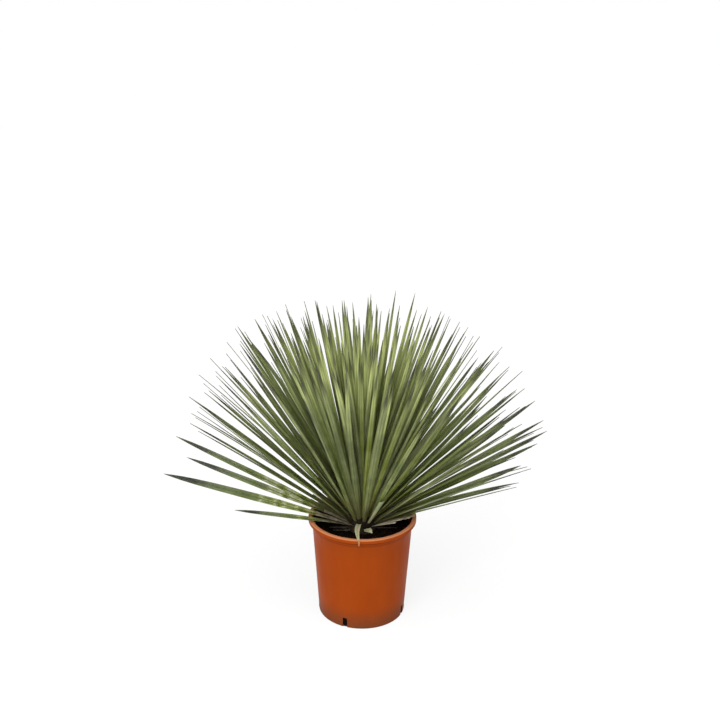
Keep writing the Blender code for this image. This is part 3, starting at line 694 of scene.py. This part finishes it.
def leaf_skin():
    """A waxy, slightly translucent skin: grey-green, finely veined, with dull margins and a dark spine,
    painted lighter towards the tips and darker in the fold, the crease and on old leaves, as painted light
    and shade.
    """
    material, tree, shader = new_material("waxy_leaf_skin", 0.5, 0.15)
    shader.inputs["Subsurface Weight"].default_value = 0.45
    shader.inputs["Subsurface Radius"].default_value = (0.9, 1.0, 0.5)
    shader.inputs["Subsurface Scale"].default_value = 0.004
    uv = add_node(tree, "ShaderNodeUVMap", {"uv_map": "UVMap"}, {}).outputs[0]
    axes = add_node(tree, "ShaderNodeSeparateXYZ", {}, {"Vector": uv})
    tone = add_node(tree, "ShaderNodeAttribute", {"attribute_name": "tone"}, {}).outputs["Fac"]
    age = add_node(tree, "ShaderNodeAttribute", {"attribute_name": "age"}, {}).outputs["Fac"]
    place = add_node(tree, "ShaderNodeTexCoord", {}, {}).outputs["Object"]
    # Each leaf has its own tone: grey-green or green, and yellowish on a few.
    greys = add_node(tree, "ShaderNodeMapRange", {}, {"Value": tone, "From Min": 0.35, "From Max": 1.0})
    green = add_node(tree, "ShaderNodeMix", {"data_type": "RGBA"},
                     {0: greys.outputs[0], 6: srgb(LEAF_GREEN), 7: srgb(LEAF_GREY)})
    yellows = add_node(tree, "ShaderNodeMapRange", {}, {"Value": tone, "From Min": 0.30, "From Max": 0.0,
                                                        "To Max": 0.85})
    warm = add_node(tree, "ShaderNodeMix", {"data_type": "RGBA"},
                    {0: yellows.outputs[0], 6: green.outputs[2], 7: srgb(LEAF_YELLOW)})
    # The waxy bloom lies in patches of about 45 mm.
    bloom = add_node(tree, "ShaderNodeTexNoise", {}, {"Vector": place, "Scale": 1 / BLOOM_SIZE,
                                                      "Detail": 4.0})
    wax = add_node(tree, "ShaderNodeMapRange", {}, {"Value": bloom.outputs["Fac"], "From Min": 0.4,
                                                    "From Max": 0.7, "To Max": 0.22})
    # Painted light from above makes the blade paler towards its tip, most on the young upright leaves and
    # least on the old low ones, and it adds to the bloom patches.
    upward = add_node(tree, "ShaderNodeMapRange", {"interpolation_type": "SMOOTHSTEP"},
                      {"Value": axes.outputs["Y"], "From Min": 0.52, "From Max": 0.96, "To Max": 0.92})
    upright_light = add_node(tree, "ShaderNodeMapRange", {}, {"Value": age, "From Max": 0.4, "To Min": 1.0,
                                                      "To Max": 0.34})
    bloom_and_light = add_node(tree, "ShaderNodeMath", {"operation": "MULTIPLY_ADD", "use_clamp": True},
                    {0: upward.outputs[0], 1: upright_light.outputs[0], 2: wax.outputs[0]})
    bloomed_and_lit = add_node(tree, "ShaderNodeMix", {"data_type": "RGBA"},
                     {0: bloom_and_light.outputs[0], 6: warm.outputs[2], 7: srgb(LEAF_BLOOM_AND_LIGHT)})
    # The hollow upper side of a blade is painted a darker green, as painted shade in the fold.
    side = add_node(tree, "ShaderNodeAttribute", {"attribute_name": "inside"}, {}).outputs["Fac"]
    hollow = add_node(tree, "ShaderNodeMath", {"operation": "MULTIPLY"}, {0: side, 1: 0.35})
    fold_shaded = add_node(tree, "ShaderNodeMix", {"data_type": "RGBA"},
                     {0: hollow.outputs[0], 6: bloomed_and_lit.outputs[2], 7: srgb(LEAF_FOLD_SHADE)})
    # Veins stand about 1 mm apart across the blade, and are drawn 2.6 mm apart so that they show.
    lines = add_node(tree, "ShaderNodeMapping", {}, {"Vector": uv, "Scale": (LEAF_WIDTH / VEIN_GAP, 0.8, 1)})
    veins = add_node(tree, "ShaderNodeTexNoise", {}, {"Vector": lines.outputs[0], "Scale": 1.0,
                                                      "Detail": 3.0})
    dark = add_node(tree, "ShaderNodeMapRange", {}, {"Value": veins.outputs["Fac"], "From Min": 0.40,
                                                     "From Max": 0.62, "To Min": 0.72, "To Max": 1.16})
    veined = add_node(tree, "ShaderNodeVectorMath", {"operation": "SCALE"},
                      {0: fold_shaded.outputs[2], "Scale": dark.outputs[0]})
    # The margins are dull and horny, and the crease along the middle is painted dark, as painted shade in
    # the crease.
    from_middle = add_node(tree, "ShaderNodeMath", {"operation": "SUBTRACT"}, {0: axes.outputs["X"], 1: 0.5})
    aside = add_node(tree, "ShaderNodeMath", {"operation": "ABSOLUTE"}, {0: from_middle.outputs[0]})
    edge = add_node(tree, "ShaderNodeMapRange", {"interpolation_type": "SMOOTHSTEP"},
                    {"Value": aside.outputs[0], "From Min": 0.43, "From Max": 0.48, "To Max": 0.75})
    edged = add_node(tree, "ShaderNodeMix", {"data_type": "RGBA"},
                     {0: edge.outputs[0], 6: veined.outputs[0], 7: srgb(LEAF_MARGIN)})
    crease = add_node(tree, "ShaderNodeMapRange", {"interpolation_type": "SMOOTHSTEP"},
                      {"Value": aside.outputs[0], "From Min": 0.09, "From Max": 0.02, "To Max": 0.25})
    crease_shaded = add_node(tree, "ShaderNodeMix", {"data_type": "RGBA"},
                       {0: crease.outputs[0], 6: edged.outputs[2], 7: srgb(LEAF_FOLD_SHADE)})
    # A leaf is brownish at its foot, and an old, low one is greyer and darker over its outer half: partly
    # dulled with age, partly painted shade for its underside, which faces away from the light.
    foot = add_node(tree, "ShaderNodeMapRange", {"interpolation_type": "SMOOTHSTEP"},
                    {"Value": axes.outputs["Y"], "From Min": 0.34, "From Max": 0.04, "To Max": 0.7})
    footed = add_node(tree, "ShaderNodeMix", {"data_type": "RGBA"},
                      {0: foot.outputs[0], 6: crease_shaded.outputs[2], 7: srgb(LEAF_FOOT)})
    outer = add_node(tree, "ShaderNodeMapRange", {}, {"Value": axes.outputs["Y"], "From Min": 0.36,
                                                      "From Max": 0.92, "To Max": 0.75})
    dulled_and_shaded = add_node(tree, "ShaderNodeMath", {"operation": "MULTIPLY"}, {0: outer.outputs[0], 1: age})
    greyed_and_shaded = add_node(tree, "ShaderNodeMix", {"data_type": "RGBA"},
                      {0: dulled_and_shaded.outputs[0], 6: footed.outputs[2], 7: srgb(LEAF_DULL_AND_SHADE)})
    # Its tip has dried to a dark spine, which reaches farther back the older the leaf is.
    ageing = add_node(tree, "ShaderNodeMath", {"operation": "MULTIPLY_ADD"}, {0: age, 1: -0.09, 2: 0.97})
    tip = add_node(tree, "ShaderNodeMath", {"operation": "SUBTRACT"},
                   {0: axes.outputs["Y"], 1: ageing.outputs[0]})
    dry = add_node(tree, "ShaderNodeMapRange", {"interpolation_type": "SMOOTHSTEP"},
                   {"Value": tip.outputs[0], "From Min": -0.13, "From Max": 0.0, "To Max": 0.90})
    colour = add_node(tree, "ShaderNodeMix", {"data_type": "RGBA"},
                      {0: dry.outputs[0], 6: greyed_and_shaded.outputs[2], 7: srgb(LEAF_SPINE)})
    tree.links.new(colour.outputs[2], shader.inputs["Base Color"])
    gloss = add_node(tree, "ShaderNodeMapRange", {}, {"Value": bloom.outputs["Fac"], "From Min": 0.3,
                                                      "From Max": 0.7, "To Min": 0.42, "To Max": 0.62})
    tree.links.new(gloss.outputs[0], shader.inputs["Roughness"])
    bump = add_node(tree, "ShaderNodeBump", {}, {"Height": veins.outputs["Fac"], "Strength": 0.5,
                                                 "Distance": 0.0004})
    tree.links.new(bump.outputs[0], shader.inputs["Normal"])
    return material


def make_leaves(leaves, unit, draw):
    """One bmesh of a share of the leaves, each with its own tone and age."""
    shape = bmesh.new()
    tone, age = shape.verts.layers.float.new("tone"), shape.verts.layers.float.new("age")
    for leaf in leaves:
        shade = draw.random()
        years = (AGE_RISE - leaf[1]) / AGE_SPAN + draw.gauss(0, AGE_SCATTER)
        years = max(0.0, min(AGE_MOST, years))
        for vert in add_blade(shape, unit, lambda s, leaf=leaf: leaf_section(leaf, s * BLADE_END)):
            vert[tone], vert[age] = shade, years
    bmesh.ops.recalc_face_normals(shape, faces=shape.faces)
    return shape


layout = leaf_layout()
skin = leaf_skin()
leaf_unit = unit_blade(LEAF_STATIONS)
tones = random.Random(DRY_SEED + 2)
for ring in range(LEAF_PIECES):
    start, end = (len(layout) * k // LEAF_PIECES for k in (ring, ring + 1))
    leaves = add_piece(f"leaves_{ring + 1}", make_leaves(layout[start:end], leaf_unit, tones), skin)
    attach(leaves, "root")
    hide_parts("leaf_head")


# The growing core
# The crowded, clasping feet of the leaves form a small blunt cone, brown outside where they have
# dried. It carries the leaves and grew in one with the stem under it.

CONE_RADIUS, CONE_RISE = 0.031, 0.037  # slimmer than the solid's, so that the leaves' feet show round it
SCALE_DEPTH, SCALE_SPIRALS = 0.0035, ((13, 9), (8, -15))  # two sets of spirals part the scales
SCALE_ROUND = 12  # the fibres' pattern goes round so many times
FOOT_COUNT, FOOT_LENGTH = 150, 0.030
FOOT_HALF, FOOT_END_HALF = 0.0072, 0.0042  # half widths at its inner and outer end
FOOT_UNDER = 0.0008  # how far it lies under the blade


def make_core():
    """The cone, flat where it meets the stem, its side pitted between spiralling scales."""
    shape = bmesh.new()
    bmesh.ops.create_uvsphere(shape, u_segments=96, v_segments=48, radius=1)
    bmesh.ops.scale(shape, verts=shape.verts, vec=(CONE_RADIUS, CONE_RADIUS, CONE_RISE))
    bmesh.ops.translate(shape, verts=shape.verts, vec=CROWN)
    foot = bmesh.ops.bisect_plane(
        shape, geom=shape.verts[:] + shape.edges[:] + shape.faces[:],
        plane_co=(0, 0, STEM_TOP + GAP), plane_no=(0, 0, -1), clear_outer=True,
    )
    bmesh.ops.holes_fill(shape, edges=[e for e in foot["geom_cut"] if isinstance(e, bmesh.types.BMEdge)])
    for vert in shape.verts:
        out = vert.co - CROWN
        bearing, climb = math.atan2(out.y, out.x), math.atan2(out.z, out.to_2d().length)
        one, other = [abs(math.sin(bearing * turns + climb * rows)) for turns, rows in SCALE_SPIRALS]
        if vert.co.z > STEM_TOP + GAP + 0.0005:
            vert.co -= out.normalized() * (SCALE_DEPTH * (1 - one * other))
    uv = shape.loops.layers.uv.new("UVMap")
    for face in shape.faces:
        for loop in face.loops:
            out = loop.vert.co - CROWN
            loop[uv].uv = (math.atan2(out.y, out.x) / math.tau * SCALE_ROUND, out.z / CONE_RISE)
    bmesh.ops.recalc_face_normals(shape, faces=shape.faces)
    return shape


def make_feet():
    """The broad dry foot of each lower leaf, which clasps the cone from beneath its blade."""
    shape = bmesh.new()
    unit = unit_blade((0.25, 0.5, 0.75))
    for leaf in layout[:FOOT_COUNT]:

        def section(s, leaf=leaf):
            centre, across, up, _ = leaf_section(leaf, s * FOOT_LENGTH / leaf[2])
            return centre - up * FOOT_UNDER, across, up, FOOT_HALF + (FOOT_END_HALF - FOOT_HALF) * s

        add_blade(shape, unit, section)
    bmesh.ops.recalc_face_normals(shape, faces=shape.faces)
    return shape


for name, shape in (("leaf_core", make_core()), ("leaf_feet", make_feet())):
    piece = add_piece(name, shape, bark, sharp=60)
    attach(piece, "root")
    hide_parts("leaf_head")


# The old leaves
# Old leaves that were cut short when the plant was tidied have dried brown, and ring the crown low down
# at the sides and the back, with blunt ends near the pot's rim.

OLD_LEAF_COUNT, OLD_LEAF_BEARINGS = 34, (-46, 222)
# Rise, length and width of an old leaf, each at the least and at the most.
OLD_LEAF_RISE, OLD_LEAF_LENGTH, OLD_LEAF_WIDTH = (15.3, 23.5), (0.085, 0.132), (0.008, 0.013)
OLD_BACK_RISE, OLD_BACK_LENGTH = 3, 0.045  # how much more the ones at the back rise and reach
OLD_LEAF_STRAY = 5
CUT_LEAF_NECK = 0.45  # width at the root, as a share of the width at the blunt end
DARK_TONES, RIGHT_SIDE_TONES = (0, 0.3), (0.4, 1.2)
OLD_STATIONS = [i / 8 for i in range(1, 8)]


def old_leaf_layout():
    """Bearing, rise, length and width of the leaves that were cut short."""
    draw = random.Random(DRY_SEED + 3)
    start, end = OLD_LEAF_BEARINGS
    leaves = []
    for i in range(OLD_LEAF_COUNT):
        bearing = start + (i + 0.5) * (end - start) / OLD_LEAF_COUNT
        bearing += draw.uniform(-OLD_LEAF_STRAY, OLD_LEAF_STRAY)
        back = max(0, math.sin(math.radians(bearing)))
        rise = draw.uniform(*OLD_LEAF_RISE) + OLD_BACK_RISE * back
        length = draw.uniform(*OLD_LEAF_LENGTH) + OLD_BACK_LENGTH * back
        leaves.append((bearing, rise, length, draw.uniform(*OLD_LEAF_WIDTH)))
    return leaves


def cut_leaf_section(leaf, s):
    """A leaf that was cut short runs straight and widens to its blunt end."""
    bearing, rise, length, width = leaf
    centre, across, up, _ = leaf_section((bearing, rise, length, width, 0, 0, 0), s)
    return centre, across, up, width * (CUT_LEAF_NECK + (1 - CUT_LEAF_NECK) * s) / 2


def make_old_leaves():
    """The ring of old leaves: those on the right are pale, and the rest are dark."""
    shape = bmesh.new()
    unit, draw = unit_blade(OLD_STATIONS), random.Random(DRY_SEED + 4)
    tone = shape.verts.layers.float.new("tone")
    for leaf in old_leaf_layout():
        on_right = math.cos(math.radians(leaf[0])) > 0
        side_tone = draw.uniform(*(RIGHT_SIDE_TONES if on_right else DARK_TONES))
        for vert in add_blade(shape, unit, lambda s, leaf=leaf: cut_leaf_section(leaf, s)):
            vert[tone] = side_tone
    bmesh.ops.recalc_face_normals(shape, faces=shape.faces)
    return shape


old_leaves = add_piece("old_cut_leaves", make_old_leaves(), dead_leaf)
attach(old_leaves, "root")
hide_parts("leaf_head")


# The pale cut leaves
# Three leaves that were cut off more lately have dried pale: one lies forward over the rim, one is a
# stub on edge in front of the stem, and one stands among the green leaves.

CUT_LEAF_RIGHT = (-69.5, 42.5, 0.168, 0.0115)  # bearing, rise, length and width
# Distance from the axis, bearing, height and half width of points along the other two.
FRONT_LEAF = (
    (0.0378, -102.5, 0.2437, 0.0058), (0.060, -100.4, 0.2477, 0.0062), (0.090, -97.9, 0.2507, 0.0052),
    (0.118, -95, 0.2516, 0.0032), (0.1300, -93.9, 0.2511, 0.0026), (0.1342, -93.3, 0.2473, 0.0023),
    (0.1362, -93.3, 0.2385, 0.0010),
)
STUB_LEAF = ((0.0402, -84, 0.2290, 0.0025), (0.0545, -66, 0.2345, 0.0075))
STUB_FACING = Vector((0.35, -0.93, 0.1)).normalized()
CUT_STATIONS = [i / 12 for i in range(1, 12)]
STRAW, STRAW_GREEN, STRAW_DARK, TAIL_BROWN = "#ABA784", "#818B65", "#746B51", "#965F36"


def dry_blade(name, end_colour):
    """A dried leaf is dull pale straw, greenish along its middle and ribbed by its fibres."""
    material, tree, shader = new_material(name, 0.7, 0.2)
    uv = add_node(tree, "ShaderNodeUVMap", {"uv_map": "UVMap"}, {}).outputs[0]
    axes = add_node(tree, "ShaderNodeSeparateXYZ", {}, {"Vector": uv})
    from_middle = add_node(tree, "ShaderNodeMath", {"operation": "SUBTRACT"}, {0: axes.outputs["X"], 1: 0.5})
    aside = add_node(tree, "ShaderNodeMath", {"operation": "ABSOLUTE"}, {0: from_middle.outputs[0]})
    middle = add_node(tree, "ShaderNodeMapRange", {"interpolation_type": "SMOOTHSTEP"},
                      {"Value": aside.outputs[0], "From Min": 0.30, "From Max": 0.05, "To Max": 0.7})
    green = add_node(tree, "ShaderNodeMix", {"data_type": "RGBA"},
                     {0: middle.outputs[0], 6: srgb(STRAW), 7: srgb(STRAW_GREEN)})
    # Its fibres are drawn 10 to its width, coarser than they are, so that they show.
    lines = add_node(tree, "ShaderNodeMapping", {}, {"Vector": uv, "Scale": (10, 1.5, 1)})
    fibre = add_node(tree, "ShaderNodeTexNoise", {}, {"Vector": lines.outputs[0], "Scale": 1.0,
                                                      "Detail": 4.0})
    brown = add_node(tree, "ShaderNodeMapRange", {}, {"Value": fibre.outputs["Fac"], "From Min": 0.52,
                                                      "From Max": 0.72, "To Max": 0.7})
    colour = add_node(tree, "ShaderNodeMix", {"data_type": "RGBA"},
                      {0: brown.outputs[0], 6: green.outputs[2], 7: srgb(STRAW_DARK)})
    end = add_node(tree, "ShaderNodeMapRange", {"interpolation_type": "SMOOTHSTEP"},
                   {"Value": axes.outputs["Y"], "From Min": 0.58, "From Max": 0.74, "To Max": 0.95})
    tail = add_node(tree, "ShaderNodeMix", {"data_type": "RGBA"},
                    {0: end.outputs[0], 6: colour.outputs[2], 7: srgb(end_colour)})
    tree.links.new(tail.outputs[2], shader.inputs["Base Color"])
    bump = add_node(tree, "ShaderNodeBump", {}, {"Height": fibre.outputs["Fac"], "Strength": 0.5,
                                                 "Distance": 0.0005})
    tree.links.new(bump.outputs[0], shader.inputs["Normal"])
    return material


for name, section, node, end_colour in (
    ("cut_leaf_over_rim", ribbon(FRONT_LEAF, Vector((0, 0, 1))), "cut_leaf_front", TAIL_BROWN),
    ("cut_leaf_on_edge", ribbon(STUB_LEAF, STUB_FACING), "cut_leaf_stub", STRAW),
    ("cut_leaf_standing", lambda s: cut_leaf_section(CUT_LEAF_RIGHT, s), "leaf_head", STRAW_GREEN),
):
    shape = bmesh.new()
    add_blade(shape, unit_blade(CUT_STATIONS), section)
    bmesh.ops.recalc_face_normals(shape, faces=shape.faces)
    blade = add_piece(name, shape, dry_blade(name + "_dried", end_colour))
    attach(blade, "root")
    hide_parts(node)


# The studio
# A table of opal acrylic, lit from below, under soft lights and before a white backdrop, and the camera
# at the photograph's angle: a 50 mm lens at standing height, looking a little down.

TABLE_HALF, TABLE_GLOW, TABLE_TOOTH = 12, 0.82, 0.002  # half its side, its light and its fine tooth
WHITE, TABLE_GREY = "#FFFFFF", "#6C6C6C"
FRONT_FILL, BACK_FILL = 1.45, 0.35  # the backdrop lights the side that is seen more than the back
CAMERA_PLACE, CAMERA_PITCH, CAMERA_ROLL = Vector((-0.009, -2.17, 1.36)), 18.3, 0.5
CAMERA_LENS, CAMERA_SENSOR = 50, 36


def opal_acrylic():
    """Matt opal acrylic glows evenly when it is lit from below, so that shadows on it stay faint."""
    material, tree, shader = new_material("opal_acrylic_table", 0.9, 0.0)
    shader.inputs["Emission Color"].default_value = srgb(WHITE)
    shader.inputs["Emission Strength"].default_value = TABLE_GLOW
    shader.inputs["Base Color"].default_value = srgb(TABLE_GREY)
    place = add_node(tree, "ShaderNodeTexCoord", {}, {}).outputs["Object"]
    tooth = add_node(tree, "ShaderNodeTexNoise", {}, {"Vector": place, "Scale": 1 / TABLE_TOOTH})
    bump = add_node(tree, "ShaderNodeBump", {}, {"Height": tooth.outputs["Fac"], "Strength": 0.02,
                                                 "Distance": 0.0002})
    tree.links.new(bump.outputs[0], shader.inputs["Normal"])
    return material


shape = bmesh.new()
bmesh.ops.create_grid(shape, x_segments=1, y_segments=1, size=TABLE_HALF)
floor = add_piece("floor", shape, opal_acrylic())


def soft_light(name, place, aim, size, power):
    """A square soft light at a place, turned towards a point."""
    light = bpy.data.lights.new(name, "AREA")
    light.shape, light.size, light.energy = "SQUARE", size, power
    lamp = bpy.data.objects.new(name, light)
    lamp.location = place
    lamp.rotation_euler = (Vector(aim) - Vector(place)).to_track_quat("-Z", "Y").to_euler()
    bpy.context.scene.collection.objects.link(lamp)


def daylight(name, towards, spread, power):
    """A distant light that shines in one direction, softened by its spread in degrees."""
    light = bpy.data.lights.new(name, "SUN")
    light.energy, light.angle = power, math.radians(spread)
    lamp = bpy.data.objects.new(name, light)
    lamp.rotation_euler = Vector(towards).to_track_quat("-Z", "Y").to_euler()
    bpy.context.scene.collection.objects.link(lamp)


soft_light("key_light", (-1.6, -2.6, 2.0), (0, 0, 0.30), 1.2, 26)
daylight("front_light", (0.36, 0.88, -0.66), 30, 1.05)
daylight("top_light", (0.05, 0.25, -1.0), 50, 0.8)

world = bpy.data.worlds.new("white_backdrop")
world.use_nodes = True
bpy.context.scene.world = world
sky = world.node_tree
seen = add_node(sky, "ShaderNodeLightPath", {}, {}).outputs["Is Camera Ray"]
facing = add_node(sky, "ShaderNodeTexCoord", {}, {}).outputs["Generated"]
behind = add_node(sky, "ShaderNodeSeparateXYZ", {}, {"Vector": facing}).outputs["Y"]
fill = add_node(sky, "ShaderNodeMapRange", {"interpolation_type": "SMOOTHSTEP"},
                {"Value": behind, "From Min": -0.35, "From Max": 0.55,
                 "To Min": FRONT_FILL, "To Max": BACK_FILL})
# The camera itself sees the backdrop as plain white.
level = add_node(sky, "ShaderNodeMix", {"data_type": "FLOAT"}, {0: seen, 2: fill.outputs[0], 3: 1.0})
sky.nodes["Background"].inputs["Color"].default_value = srgb(WHITE)
sky.links.new(level.outputs[0], sky.nodes["Background"].inputs["Strength"])
bpy.context.scene.view_settings.view_transform = "Standard"

pitch, roll = math.radians(CAMERA_PITCH), math.radians(CAMERA_ROLL)
right, above = Vector((1, 0, 0)), Vector((0, math.sin(pitch), math.cos(pitch)))
camera = bpy.data.objects.new("camera", bpy.data.cameras.new("camera"))
camera.data.lens, camera.data.sensor_width = CAMERA_LENS, CAMERA_SENSOR
camera.matrix_world = Matrix.Translation(CAMERA_PLACE) @ Matrix((
    right * math.cos(roll) + above * math.sin(roll),
    above * math.cos(roll) - right * math.sin(roll),
    Vector((0, -math.cos(pitch), math.sin(pitch))),
)).transposed().to_4x4()
bpy.context.scene.collection.objects.link(camera)
bpy.context.scene.camera = camera
